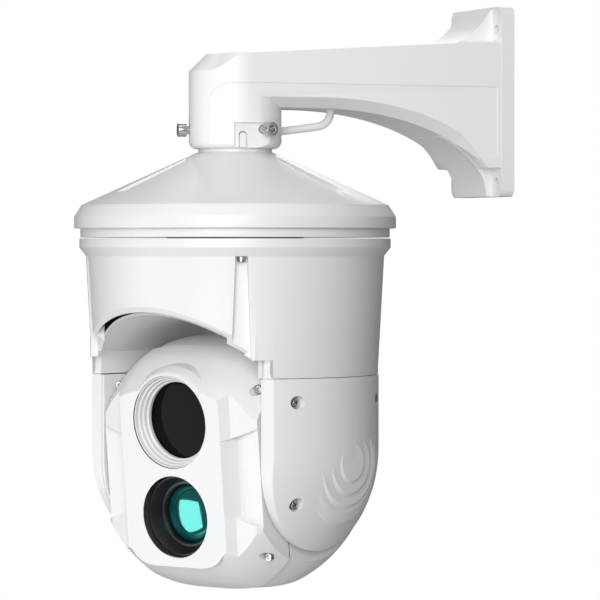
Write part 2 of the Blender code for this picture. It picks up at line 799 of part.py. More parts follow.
def face_cuts(wall):
    """What is cut from each side of the face, or the same shapes set inwards by a wall."""
    cuts = []
    far = 140 * MM
    for side in (-1, 1):
        flank = [
            (side * (FACE_HALF_WIDTH - wall), FACE_Y + wall),
            (side * (EAR_X - wall), EAR_Y + wall),
            (side * (EAR_END_X - wall), EAR_Y + wall),
            (side * HEAD_HALF_WIDTH, EAR_OUTER_Y + wall),
            (side * far, EAR_OUTER_Y + wall),
            (side * far, -far),
            (side * (FACE_HALF_WIDTH - wall), -far),
        ]
        cuts.append(prism(flank, "Z", -far, far))
        trough = [
            (side * (FACE_HALF_WIDTH - wall), FACE_Y + wall),
            (side * (POCKET_X - wall), POCKET_Y + wall),
            (side * far, POCKET_Y + wall),
            (side * far, -far),
            (side * (FACE_HALF_WIDTH - wall), -far),
        ]
        pocket = prism(trough, "Z", -44 * MM - wall, 39 * MM + wall)
        cuts.append(pocket)
        for level in (-1, 1):
            normal = Vector((side * CORNER_NORMAL.x, CORNER_NORMAL.y, level * CORNER_NORMAL.z))
            corner = box((-far, -far, 0), (far, far, far))
            corner.transform(pointing(normal, normal * (CORNER_DISTANCE - wall)))
            cuts.append(corner)
    return cuts


COVER_SCREWS = tuple((x, z) for x in (-84, 84) for z in (-78, 78))
SHELL_END = HEAD_HALF_WIDTH - WALL


def front_cover(tilt):
    obj = make("front_cover", head_body(0, HEAD_HALF_WIDTH), WHITE, tilt)
    for shape in face_cuts(0):
        cut(obj, shape)
    join(obj, plate())
    join(obj, moved(rod(COLLAR_R, 60 * MM, -FACE_Y, FINE, "-Y"), (0, 0, WINDOW_Z)))
    hollow = helper(head_body(WALL, SHELL_END), tilt)
    for shape in face_cuts(WALL):
        cut(hollow, shape)
    cut(hollow, box((-130 * MM, -150 * MM, -140 * MM), (130 * MM, -93.7 * MM, 140 * MM)))
    bosses = [
        moved(rod(6.5 * MM, 20 * MM, 120 * MM, 12, "-Y"), (x * MM, 0, z * MM))
        for x, z in COVER_SCREWS
    ]
    cut(hollow, gathered(bosses))
    combine(obj, "DIFFERENCE", hollow)
    trim(obj, box((-130 * MM, FACE_Y, -140 * MM), (130 * MM, SPLIT_Y - 0.9 * MM, 140 * MM)))
    holes = [
        moved(rod(WINDOW_R, 60 * MM, 120 * MM, FINE, "-Y"), (0, 0, WINDOW_Z)),
        moved(rod(THERMAL_R, 60 * MM, 120 * MM, FINE, "-Y"), (0, 0, THERMAL_Z)),
    ]
    cut(obj, gathered(holes))
    counterbores = []
    for x, z in COVER_SCREWS:
        profile = [(0, 30), (2.6, 30), (2.6, 60), (4.8, 60), (4.8, 120), (0, 120)]
        hole = lathe([(r * MM, h * MM) for r, h in profile], 14, "-Y")
        counterbores.append(moved(hole, (x * MM, 0, z * MM)))
    cut(obj, gathered(counterbores))
    for number, (x, z) in enumerate(COVER_SCREWS, 1):
        place = pointing((0, -1, 0), (x * MM, -60.3 * MM, z * MM))
        screw(f"cover_screw_{number}", 4 * MM, 4.5 * MM, 2.2 * MM, 16 * MM, place, tilt)


def rear_shell(tilt):
    obj = make("rear_shell", head_body(WALL, HEAD_HALF_WIDTH), WHITE, tilt)
    combine(obj, "DIFFERENCE", helper(head_body(2 * WALL, SHELL_END), tilt))
    trim(obj, box((-130 * MM, SPLIT_Y + 0.9 * MM, -140 * MM), (130 * MM, 140 * MM, 140 * MM)))
    cut(obj, rod(17 * MM, -100 * MM, 100 * MM, FINE, "X"))
    seal = make("head_gasket", head_body(3.5 * MM, HEAD_HALF_WIDTH - 0.5 * MM), SEAL, tilt)
    combine(seal, "DIFFERENCE", helper(head_body(6.5 * MM, HEAD_HALF_WIDTH - 3.5 * MM), tilt))
    slab = box(
        (-130 * MM, SPLIT_Y - 0.6 * MM, -140 * MM), (130 * MM, SPLIT_Y + 0.6 * MM, 140 * MM)
    )
    trim(seal, slab)


def optics(tilt):
    def lens_piece(name, profile, finish, height, segments=FINE):
        bm = lathe([(r * MM, z * MM) for r, z in profile], segments, "-Y")
        return make(name, moved(bm, (0, 0, height)), finish, tilt)

    lens_piece(
        "window_trim",
        [
            (36, 76),
            (40.7, 76),
            (40.7, 95),
            (39.7, 95),
            (39.7, 90),
            (38.6, 90),
            (38.6, 86),
            (37.4, 86),
            (37.4, 82),
            (36, 82),
        ],
        WHITE,
        WINDOW_Z,
    )
    lens_piece(
        "visible_window",
        [(0, 72.5), (40.4, 72.5), (40.4, 75.7), (0, 75.7)],
        GLASS,
        WINDOW_Z,
        FINE,
    )
    camera = lens_piece(
        "zoom_camera",
        [(0, 10), (30, 10), (30, 60), (26, 64), (26, 72.2), (20, 72.2), (14, 66), (0, 66)],
        BLACK,
        WINDOW_Z,
        32,
    )
    join(camera, box((-28 * MM, -50 * MM, 2.8 * MM), (28 * MM, 62 * MM, 74 * MM)))
    lens_piece(
        "thermal_barrel",
        [
            (27.9, 55),
            (38.1, 55),
            (38.1, 87.2),
            (36, 87.2),
            (31, 77),
            (31, 75.5),
            (28.5, 75.5),
            (27.9, 73),
        ],
        BLACK,
        THERMAL_Z,
    )
    dome = [(27.5 * math.sin(a), 68.5 + 7.5 * math.cos(a)) for a in (0.0, 0.35, 0.7, 1.05, 1.3)]
    lens_piece("thermal_lens", [(0, 62), (27.5, 62), (27.5, 69), *reversed(dome)], COATED, THERMAL_Z)
    core = lens_piece(
        "thermal_core", [(0, 10), (27, 10), (27, 54.6), (0, 54.6)], BLACK, THERMAL_Z, 32
    )
    join(core, box((-26 * MM, -40 * MM, -66 * MM), (26 * MM, 30 * MM, -2.8 * MM)))


def head_frame(tilt):
    tray = box((-82 * MM, -50 * MM, -2.5 * MM), (82 * MM, 60 * MM, 2.5 * MM))
    obj = make("head_frame", tray, ALLOY, tilt)
    for side in (-1, 1):
        low, high = sorted((side * 80 * MM, side * 84 * MM))
        join(obj, box((low, -20 * MM, -22 * MM), (high, 20 * MM, 22 * MM)))
    for name, axis in (("tilt_shaft_right", "X"), ("tilt_shaft_left", "-X")):
        profile = [(0, 84.3), (16, 84.3), (16, 88.3), (8, 88.3), (8, 106.5), (5, 106.5)]
        profile += [(5, 112.5), (0, 112.5)]
        make(name, lathe([(r * MM, z * MM) for r, z in profile], SMALL, axis), STEEL, tilt)
    blank, bore = gear(TILT_GEAR_TEETH, -112 * MM, -107 * MM, 5.3 * MM)
    blank.data.transform(Matrix.Rotation(math.pi / 2, 4, "Y"))
    blank.data.transform(Matrix.Rotation(-TILT_REST, 4, "X"))
    finish_gear("tilt_gear", blank, turned(bore, math.pi / 2, "Y"), STEEL, tilt)


# ---------------------------------------------------------------- the whole camera

for old in list(bpy.data.objects):
    bpy.data.objects.remove(old, do_unlink=True)

dome_axis = empty("dome_axis", (0, -REACH, 0))
pan_axis = empty("pan_axis", (0, -REACH, TILT_HEIGHT))
pan_axis.rotation_euler.z = PAN_REST
tilt_axis = empty("tilt_axis", (0, 0, 0), pan_axis)
tilt_axis.rotation_euler.x = TILT_REST

wall_bracket()
bracket_screws(dome_axis)
fixed_pieces(dome_axis)
housing(pan_axis)
liner(pan_axis)
lobe("side_cover_right", 1, pan_axis)
lobe("side_cover_left", -1, pan_axis)
arm_shell("arm_shell_right", 1, pan_axis)
arm_shell("arm_shell_left", -1, pan_axis)
yoke(pan_axis)
drives(pan_axis)
pinions(pan_axis)
front_cover(tilt_axis)
rear_shell(tilt_axis)
optics(tilt_axis)
head_frame(tilt_axis)
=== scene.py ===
"""Looks of the wall-hung pan-tilt camera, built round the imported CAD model.

Fixed pieces are built round the dome's axis, turning pieces round the tilt centre with X along the
tilt axis and the lenses looking along -Y. Lengths in outlines are in millimetres.
"""

import json
import math

import bmesh
import bpy
from mathutils import Matrix, Vector


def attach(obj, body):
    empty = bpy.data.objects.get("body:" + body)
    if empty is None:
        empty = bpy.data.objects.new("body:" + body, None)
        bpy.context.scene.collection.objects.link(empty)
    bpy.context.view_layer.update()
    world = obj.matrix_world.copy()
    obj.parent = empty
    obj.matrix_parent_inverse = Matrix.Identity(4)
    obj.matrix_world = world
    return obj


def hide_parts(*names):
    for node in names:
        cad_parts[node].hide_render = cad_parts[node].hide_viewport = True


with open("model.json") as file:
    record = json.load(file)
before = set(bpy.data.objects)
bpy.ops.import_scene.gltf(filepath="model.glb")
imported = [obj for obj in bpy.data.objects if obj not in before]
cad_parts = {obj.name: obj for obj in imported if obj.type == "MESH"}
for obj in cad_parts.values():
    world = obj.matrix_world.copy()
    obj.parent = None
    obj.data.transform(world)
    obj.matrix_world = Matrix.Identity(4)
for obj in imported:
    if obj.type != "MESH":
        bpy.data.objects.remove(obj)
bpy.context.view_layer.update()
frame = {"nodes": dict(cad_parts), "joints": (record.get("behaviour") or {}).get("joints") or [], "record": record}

MM = 0.001
ROUND = 160
FINE = 96
SMALL = 48
BOLD_EDGE = 0.9
SOFT_EDGE = 0.5

# Places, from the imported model
joints = {joint["name"]: joint for joint in frame["joints"]}
TILT_CENTRE = Vector(joints["tilt"]["pos_m"])
TILT_AXIS = Vector(joints["tilt"]["axis"])
PAN_REST = math.atan2(TILT_AXIS.y, TILT_AXIS.x)
TILT_REST = math.radians(5.5)
REACH = -TILT_CENTRE.y / MM

DOME = Matrix.Translation((0, TILT_CENTRE.y, 0))
PAN = Matrix.Translation(TILT_CENTRE) @ Matrix.Rotation(PAN_REST, 4, "Z")
TILT = PAN @ Matrix.Rotation(TILT_REST, 4, "X")
WORLD = Matrix.Identity(4)


# ---------------------------------------------------------------- outlines and meshes


def rounded(points, radius, steps=4):
    """A closed outline with each corner turned into a short curve. Points on the axis stay."""
    curve = []
    for i, point in enumerate(points):
        corner = Vector(point)
        before = Vector(points[i - 1]) - corner
        after = Vector(points[(i + 1) % len(points)]) - corner
        angle = before.angle(after, math.pi)
        if corner.x == 0 or angle > math.radians(174):
            curve.append(tuple(corner))
            continue
        reach = min(radius / math.tan(angle / 2), 0.45 * before.length, 0.45 * after.length)
        start = corner + before.normalized() * reach
        end = corner + after.normalized() * reach
        for k in range(steps + 1):
            t = k / steps
            curve.append(tuple(start * (1 - t) ** 2 + corner * 2 * t * (1 - t) + end * t * t))
    return curve


def arc(centre, radius, start, end, steps):
    """Points on an arc, angles in degrees from the first axis."""
    angles = [math.radians(start + (end - start) * k / steps) for k in range(steps + 1)]
    return [(centre[0] + radius * math.cos(a), centre[1] + radius * math.sin(a)) for a in angles]


def loft(sections):
    """A solid through rings of equal length, closed by a flat face at each end."""
    bm = bmesh.new()
    rings = [[bm.verts.new(Vector(p) * MM) for p in section] for section in sections]
    for first, second in zip(rings, rings[1:]):
        for i in range(len(first)):
            j = (i + 1) % len(first)
            bm.faces.new((first[i], first[j], second[j], second[i]))
    bm.faces.new(rings[0][::-1])
    bm.faces.new(rings[-1])
    bmesh.ops.recalc_face_normals(bm, faces=bm.faces)
    return bm


def prism(outline, axis, low, high):
    """A flat outline pushed along X, Y or Z. Its points are the other two coordinates, in order."""
    def place(point, along):
        values = list(point)
        values.insert("XYZ".index(axis), along)
        return values

    return loft([[place(p, low) for p in outline], [place(p, high) for p in outline]])


def box(low, high):
    corners = [(low[0], low[1]), (high[0], low[1]), (high[0], high[1]), (low[0], high[1])]
    return prism(corners, "Z", low[2], high[2])


AXIS_TURNS = {"X": (90, "Y"), "-X": (-90, "Y"), "-Y": (90, "X"), "Z": (0, "Z")}


def lathe(profile, segments, axis="Z"):
    """A closed (radius, height) outline turned about an axis. Points at radius 0 stay single."""
    bm = bmesh.new()
    rings = []
    for radius, height in profile:
        count = segments if radius > 0 else 1
        turns = [2 * math.pi * k / segments for k in range(count)]
        rings.append(
            [bm.verts.new(Vector((radius * math.cos(t), radius * math.sin(t), height)) * MM)
             for t in turns]
        )
    for first, second in zip(rings, rings[1:] + rings[:1]):
        if len(first) == len(second) == 1:
            continue
        for k in range(segments):
            n = (k + 1) % segments
            corners = (first[k % len(first)], first[n % len(first)],
                       second[n % len(second)], second[k % len(second)])
            bm.faces.new(list(dict.fromkeys(corners)))
    angle, about = AXIS_TURNS[axis]
    bmesh.ops.rotate(
        bm, verts=bm.verts, matrix=Matrix.Rotation(math.radians(angle), 3, about)
    )
    bmesh.ops.recalc_face_normals(bm, faces=bm.faces)
    return bm


def rod(radius, low, high, segments=SMALL, axis="Z"):
    return lathe([(0, low), (radius, low), (radius, high), (0, high)], segments, axis)


def moved(bm, offset):
    bmesh.ops.translate(bm, verts=bm.verts, vec=Vector(offset) * MM)
    return bm


def turned(bm, degrees, axis="Z"):
    bmesh.ops.rotate(
        bm, verts=bm.verts, matrix=Matrix.Rotation(math.radians(degrees), 3, axis)
    )
    return bm


def tube(path, radius, sides):
    """A round bar along a path in the plane X = 0."""
    sections = []
    for i, point in enumerate(path):
        before = path[max(i - 1, 0)]
        after = path[min(i + 1, len(path) - 1)]
        along = Vector((0, after[0] - before[0], after[1] - before[1])).normalized()
        across = Vector((1, 0, 0)).cross(along)
        turns = [2 * math.pi * k / sides for k in range(sides)]
        centre = Vector((0, point[0], point[1]))
        sections.append(
            [centre + radius * (math.cos(t) * Vector((1, 0, 0)) + math.sin(t) * across)
             for t in turns]
        )
    return loft(sections)


# ---------------------------------------------------------------- solids


def solid(bm):
    mesh = bpy.data.meshes.new("solid")
    bm.to_mesh(mesh)
    bm.free()
    obj = bpy.data.objects.new("solid", mesh)
    bpy.context.scene.collection.objects.link(obj)
    return obj


def combine(obj, operation, others, solver="EXACT"):
    """Joins, cuts or trims a solid by others, and keeps only the result."""
    for other in others:
        modifier = obj.modifiers.new(operation, "BOOLEAN")
        modifier.operation = operation
        modifier.solver = solver
        modifier.object = other
    settle(obj)
    for other in others:
        mesh = other.data
        bpy.data.objects.remove(other)
        bpy.data.meshes.remove(mesh)
    return obj


def settle(obj):
    """Turns an object's modifiers into plain mesh."""
    depsgraph = bpy.context.evaluated_depsgraph_get()
    old = obj.data
    obj.data = bpy.data.meshes.new_from_object(obj.evaluated_get(depsgraph))
    obj.modifiers.clear()
    bpy.data.meshes.remove(old)


def cut(obj, *shapes, solver="EXACT"):
    return combine(obj, "DIFFERENCE", [solid(bm) for bm in shapes], solver)


def join(obj, *shapes, solver="EXACT"):
    return combine(obj, "UNION", [solid(bm) for bm in shapes], solver)


def trim(obj, *shapes, solver="EXACT"):
    return combine(obj, "INTERSECT", [solid(bm) for bm in shapes], solver)


def finished(obj, name, place, body, material, edge=0.0, angle=32):
    """Names a solid, rounds its edges, puts it in its place and lets it stand for its CAD node."""
    bm = bmesh.new()
    bm.from_mesh(obj.data)
    bmesh.ops.remove_doubles(bm, verts=bm.verts, dist=0.004 * MM)
    bmesh.ops.dissolve_degenerate(bm, edges=bm.edges, dist=0.004 * MM)
    bm.transform(place)
    bm.to_mesh(obj.data)
    bm.free()
    obj.name = name + "_look"
    obj.data.name = obj.name
    obj.data.shade_smooth()
    obj.data.set_sharp_from_angle(angle=math.radians(angle))
    if edge:
        bevel = obj.modifiers.new("edges", "BEVEL")
        bevel.width = edge * MM
        bevel.segments = 3
        bevel.limit_method = "ANGLE"
        bevel.angle_limit = math.radians(angle)
        bevel.harden_normals = True
        settle(obj)
    obj.data.materials.clear()
    obj.data.materials.append(material)
    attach(obj, body)
    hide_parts(name)


# ---------------------------------------------------------------- materials


def graph(name):
    material = bpy.data.materials.new(name)
    material.use_nodes = True
    nodes = material.node_tree.nodes
    return material, nodes, material.node_tree.links, nodes["Principled BSDF"]


def noise(nodes, links, scale, detail=2.0):
    coords = nodes.new("ShaderNodeTexCoord")
    texture = nodes.new("ShaderNodeTexNoise")
    texture.inputs["Scale"].default_value = scale
    texture.inputs["Detail"].default_value = detail
    links.new(coords.outputs["Object"], texture.inputs["Vector"])
    return texture.outputs["Fac"]


def spread(nodes, links, source, low, high):
    """Maps the middle of a 0 to 1 signal to a range."""
    node = nodes.new("ShaderNodeMapRange")
    node.inputs["From Min"].default_value = 0.3
    node.inputs["From Max"].default_value = 0.7
    node.inputs["To Min"].default_value = low
    node.inputs["To Max"].default_value = high
    links.new(source, node.inputs["Value"])
    return node.outputs["Result"]


def mixed(nodes, links, share, first, second):
    node = nodes.new("ShaderNodeMix")
    node.data_type = "RGBA"
    links.new(share, node.inputs["Factor"])
    node.inputs["A"].default_value = (*first, 1)
    node.inputs["B"].default_value = (*second, 1)
    return node.outputs["Result"]


def surface(name, colour, roughness, metallic=0.0, coat=0.0, grain=900, depth=0.02, wander=0.06,
            shade=0.985, edge=0.5, specular=0.5):
    """A surface with a slow drift of colour and gloss, a fine grain and slightly rounded edges."""
    material, nodes, links, shader = graph(name)
    drift = spread(nodes, links, noise(nodes, links, 7, 2), 0, 1)
    darker = tuple(shade * value for value in colour)
    links.new(mixed(nodes, links, drift, colour, darker), shader.inputs["Base Color"])
    gloss = spread(nodes, links, noise(nodes, links, 60, 4), roughness - wander, roughness + wander)
    links.new(gloss, shader.inputs["Roughness"])
    shader.inputs["Metallic"].default_value = metallic
    shader.inputs["Specular IOR Level"].default_value = specular
    shader.inputs["Coat Weight"].default_value = coat
    shader.inputs["Coat Roughness"].default_value = 0.12
    bevel = nodes.new("ShaderNodeBevel")
    bevel.samples = 4
    bevel.inputs["Radius"].default_value = edge * MM
    bump = nodes.new("ShaderNodeBump")
    bump.inputs["Strength"].default_value = 1.0
    bump.inputs["Distance"].default_value = depth * MM
    links.new(noise(nodes, links, grain, 2), bump.inputs["Height"])
    links.new(bevel.outputs["Normal"], bump.inputs["Normal"])
    links.new(bump.outputs["Normal"], shader.inputs["Normal"])
    return material


def brushed(name, colour, roughness):
    """Bare turned metal with a slightly uneven gloss."""
    material = surface(name, colour, roughness, metallic=1.0, grain=2600, depth=0.012,
                       wander=0.08, shade=0.82, edge=0.3)
    material.node_tree.nodes["Principled BSDF"].inputs["Anisotropic"].default_value = 0.4
    return material


WHITE = surface("white_paint", (0.81, 0.815, 0.83), 0.38, coat=0.08, grain=420, depth=0.008,
                wander=0.025)
CASTING = surface("bracket_paint", (0.88, 0.885, 0.885), 0.48, coat=0.03, grain=1100, depth=0.02,
                  wander=0.03)
STAINLESS = brushed("stainless", (0.58, 0.56, 0.53), 0.24)
STEEL = brushed("bearing_steel", (0.50, 0.50, 0.51), 0.30)
ALLOY = brushed("machined_alloy", (0.68, 0.69, 0.70), 0.36)
DARK = surface("dark_plastic", (0.035, 0.036, 0.04), 0.55, grain=1500, depth=0.05, shade=0.8)
BLACK = surface("black_anodised", (0.012, 0.012, 0.014), 0.38, grain=1800, depth=0.02, shade=0.8)
GEARS = surface("gear_plastic", (0.74, 0.71, 0.62), 0.45, grain=1200, depth=0.03)
RUBBER = surface("seal_rubber", (0.03, 0.03, 0.03), 0.78, grain=1500, depth=0.06, shade=0.8)
BOARD = surface("circuit_board", (0.015, 0.13, 0.05), 0.42, grain=300, depth=0.02, shade=0.6)
GLASS = surface("window_glass", (0.004, 0.004, 0.006), 0.06, grain=60, depth=0.001,
                wander=0.01, edge=0.2, specular=0.05)
COATED = surface("coated_germanium", (0.004, 0.07, 0.07), 0.07, grain=60, depth=0.001,
                 wander=0.02, edge=0.2)
lens_shader = COATED.node_tree.nodes["Principled BSDF"]
lens_shader.inputs["IOR"].default_value = 3.6
lens_shader.inputs["Specular Tint"].default_value = (0.22, 0.96, 0.88, 1)

BY_SLOT = {
    "white_paint": WHITE,
    "bracket_paint": CASTING,
    "stainless": STAINLESS,
    "bearing_steel": STEEL,
    "machined_alloy": ALLOY,
    "dark_plastic": DARK,
    "black_anodised": BLACK,
    "window_glass": GLASS,
    "coated_germanium": COATED,
    "circuit_board": BOARD,
    "gear_plastic": GEARS,
    "seal_rubber": RUBBER,
}


# ---------------------------------------------------------------- wall bracket

HEAD_R = 44
HEAD_BOTTOM = -47.5
HEAD_TOP = 41.9
HEAD_CHAMFER = 16.2
HEAD_FOOT_ROUND = 7
ARM_EDGE = 1.5
ARM_FOOT = -75
FLANGE_THICKNESS = 14
FLANGE_HALF = (53.25, 92)
FLANGE_CORNER = 8
BOLT_X = 42
BOLT_HEIGHTS = (70, -78)
BOLT_HOLE_R = 4.5
WEB_HALF = 33
ARM_RISE = 0.065
ARM_WIDENING = 9
ARCH_CENTRE = (-200, -90)
ARCH_SIZE = (180, 81.5)
ARCH_END_FADE = 25
PANEL_TOP = 14
PANEL_FLOOR = HEAD_R - 0.9
PANEL_FRONT = 24
PANEL_CORNER = 19
PANEL_TURN = math.atan(9 / 253)
LOCK_SCREW_Z = -29.8
LOCK_SCREW_SEAT = 47
LOCK_SCREW_ANGLES = (-103.5, 16.5, 136.5)
KEY_ANGLE = -13


def arch_height(y):
    """Underside of the arm: a quarter ellipse that drops to the foot of the flange."""
    share = min(max((y - ARCH_CENTRE[0]) / ARCH_SIZE[0], 0), 1)
    return ARCH_CENTRE[1] + ARCH_SIZE[1] * math.sqrt(1 - share * share)


def arm_section(y):
    along = (y + REACH) / (REACH - FLANGE_THICKNESS)
    half_width = HEAD_R - 0.05 + ARM_WIDENING * along
    top = HEAD_TOP - 0.05 + ARM_RISE * (y + REACH)
    bottom = max(arch_height(y), ARM_FOOT)
    fade = min(max((-30 - y) / ARCH_END_FADE, 0.05), 1)
    half = [
        (half_width - ARM_EDGE, top),
        (half_width, top - ARM_EDGE),
        (half_width, bottom + 10 * fade),
        (half_width - 15 * fade, bottom),
    ]
    return [(x, y, z) for x, z in half + [(-x, z) for x, z in reversed(half)]]


def head_chamfer(turn):
    """Full at the front of the head, fading to the arm's small edge at its sides."""
    from_front = abs((turn + math.pi / 2 + math.pi) % (2 * math.pi) - math.pi)
    share = min(max((from_front - math.radians(35)) / math.radians(45), 0), 1)
    fade = share * share * (3 - 2 * share)
    return HEAD_CHAMFER * (1 - fade) + ARM_EDGE * fade


def bracket_head():
    """A drum with a rounded foot, chamfered round the front of its top."""
    corner = (HEAD_R - HEAD_FOOT_ROUND, HEAD_BOTTOM + HEAD_FOOT_ROUND)
    foot = arc(corner, HEAD_FOOT_ROUND, 270, 360, 8)
    sections = []
    turns = [2 * math.pi * k / ROUND for k in range(ROUND)]
    for radius, z in foot:
        sections.append([(radius * math.cos(t), radius * math.sin(t), z) for t in turns])
    for share in (1, 0):
        section = []
        for t in turns:
            radius = HEAD_R - head_chamfer(t) * (1 - share)
            section.append((radius * math.cos(t), radius * math.sin(t),
                            HEAD_TOP - share * head_chamfer(t)))
        sections.append(section)
    return moved(loft(sections), (0, -REACH, 0))


def panel(side):
    """The shallow recess round the head, with a rounded upper front corner."""
    floor = [(PANEL_FLOOR, -60), (60, -60), (60, PANEL_TOP), (PANEL_FLOOR, PANEL_TOP)]
    shell = solid(moved(lathe(floor, ROUND), (0, -REACH, 0)))
    corner = (PANEL_FRONT + PANEL_CORNER, PANEL_TOP - PANEL_CORNER)
    outline = [(PANEL_FRONT, -60)] + arc(corner, PANEL_CORNER, 180, 90, 12)
    outline += [(80, PANEL_TOP), (80, -60)]
    return trim(shell, prism([(side * x, z) for x, z in outline], "Y", -340, -REACH))


def flank(side):
    """The same recess along the lower half of the arm."""
    low = HEAD_BOTTOM - 5
    outline = [(-REACH - 1, low), (-REACH - 1, PANEL_TOP), (-16, PANEL_TOP), (-16, low)]
    low_x, high_x = sorted((side * PANEL_FLOOR, side * 60))
    run = prism(outline, "X", low_x, high_x)
    turn = Matrix.Rotation(-side * PANEL_TURN, 3, "Z")
    bmesh.ops.rotate(run, verts=run.verts, cent=Vector((0, -REACH * MM, 0)), matrix=turn)
    keep = box((-80, -REACH, -80), (80, 0, 60))
    return trim(solid(run), keep)


def wall_bracket():
    flange = []
    x, z = FLANGE_HALF
    for x, z, start in ((x, z, 0), (-x, z, 90), (-x, -z, 180), (x, -z, 270)):
        centre = (x - math.copysign(FLANGE_CORNER, x), z - math.copysign(FLANGE_CORNER, z))
        flange += arc(centre, FLANGE_CORNER, start, start + 90, 10)
    obj = solid(prism(flange, "Y", -FLANGE_THICKNESS, 0))
    stations = [-REACH + 3.0 * k for k in range(87)]
    gusset = arc((-80, 125), 73.5, -28.7, -68, 20)
    arch = [-70 + 1.0 * k for k in range(50)]
    web = [(-8, -91.7), (-8, 89.7), *gusset, (-75, 20)]
    web += [(y, arch_height(y) - 0.5) for y in arch] + [(-20.5, -91.7)]
    eye = [(-231, -31), (-219, -29.5), (-188, -25.5)]
    eye += arc((-186.5, -10), 15, -75, 0, 16) + [(-171, -4)]
    join(
        obj,
        loft([arm_section(y) for y in stations]),
        prism(web, "X", -WEB_HALF, WEB_HALF),
        bracket_head(),
        tube(eye, 3.8, 24),
        solver="MANIFOLD",
    )
    low = HEAD_BOTTOM - 5
    bore = [(0, low), (36.2, low), (36.2, -12), (30, -12), (30, 25), (0, 25)]
    cutters = [moved(lathe(bore, FINE), (0, -REACH, 0)), box((-22, -250, 4), (22, 5, 23))]
    for x in (-BOLT_X, BOLT_X):
        for z in BOLT_HEIGHTS:
            cutters.append(moved(rod(BOLT_HOLE_R, -5, 30, SMALL, "-Y"), (x, 0, z)))
        low_x, high_x = sorted((math.copysign(WEB_HALF, x), math.copysign(70, x)))
        cutters.append(box((low_x, -39, -90), (high_x, -FLANGE_THICKNESS, -64)))
    for angle in LOCK_SCREW_ANGLES:
        hole = turned(rod(4.3, 30, 52, 32, "X"), angle)
        cutters.append(moved(hole, (0, -REACH, LOCK_SCREW_Z)))
    slot = prism(
        [(-3.6, low), (3.6, low)] + arc((0, -35.2), 3.6, 0, 180, 12), "X", 30, 50
    )
    cutters.append(moved(turned(slot, KEY_ANGLE), (0, -REACH, 0)))
    pad = box((38.5, -14.2, low), (60, 30, -23.7))
    cutters.append(moved(turned(pad, -5), (0, -REACH, 0)))
    cut(obj, *cutters, solver="MANIFOLD")
    for side in (-1, 1):
        combine(obj, "DIFFERENCE", [panel(side), flank(side)], "MANIFOLD")
    finished(obj, "wall_bracket", WORLD, "bracket", CASTING, SOFT_EDGE, 24)


def socket_screw(name, head_r, head_height, shank_r, length, matrix, place, body):
    """A cap screw with a hexagon socket. Its head sits on the local plane Z = 0."""
    profile = [(0, head_height), (head_r, head_height), (head_r, 0)]
    profile += [(shank_r, 0), (shank_r, -length), (0, -length)]
    obj = solid(lathe(rounded(profile, 0.5, 3), SMALL))
    socket = lathe(
        [(0, 0.35 * head_height), (0.52 * head_r, 0.45 * head_height),
         (0.52 * head_r, head_height + 1), (0, head_height + 1)],
        6,
    )
    dish = lathe([(0, head_height - 0.6), (0.62 * head_r, head_height + 0.1),
                  (0.62 * head_r, head_height + 1), (0, head_height + 1)], SMALL)
    cut(obj, socket, dish)
    finished(obj, name, place @ matrix, body, STAINLESS)


def pointing(direction, location):
    turn = Vector((0, 0, 1)).rotation_difference(Vector(direction)).to_matrix().to_4x4()
    return Matrix.Translation(Vector(location) * MM) @ turn


def screws():
    for number, degrees in enumerate(LOCK_SCREW_ANGLES, 1):
        a = math.radians(degrees)
        out = Vector((math.cos(a), math.sin(a), 0))
        seat = pointing(out, LOCK_SCREW_SEAT * out + Vector((0, 0, LOCK_SCREW_Z)))
        socket_screw(f"bracket_screw_{number}", 6.5, 8.2, 4, 11.5, seat, DOME, "bracket")
    number = 0
    for side in (0, 180):
        for angle in (-CHANNEL_ANGLE, CHANNEL_ANGLE):
            number += 1
            turn = math.radians(angle + side)
            place = (SCREW_CIRCLE_R * math.sin(turn), -SCREW_CIRCLE_R * math.cos(turn), 193.7)
            seat = pointing((0, 0, -1), place)
            socket_screw(f"housing_screw_{number}", 4, 5, 2.2, 6, seat, PAN, "pan_body")
    for side, first in ((1, 1), (-1, 5)):
        for number, (y, z, surface_x) in enumerate(SIDE_SCREWS, first):
            seat_x = surface_x - SEAT_DEPTH + 0.3
            seat = pointing((side, 0, 0), (side * seat_x, y, z))
            socket_screw(
                f"side_screw_{number}", 4.25, 5, 2.5, seat_x - 98, seat, PAN, "pan_body"
            )
    for number, (x, z) in enumerate(COVER_SCREWS, 1):
        seat = pointing((0, -1, 0), (x, -60.3, z))
        socket_screw(f"cover_screw_{number}", 4, 4.5, 2.2, 16, seat, TILT, "tilt_head")


# ---------------------------------------------------------------- fixed pieces of the dome


CONE_TOP = (35.3, -50.5)
CONE_FOOT = (145.8, -101)
FACET_ANGLES = (32.5, 152.5, 272.5)


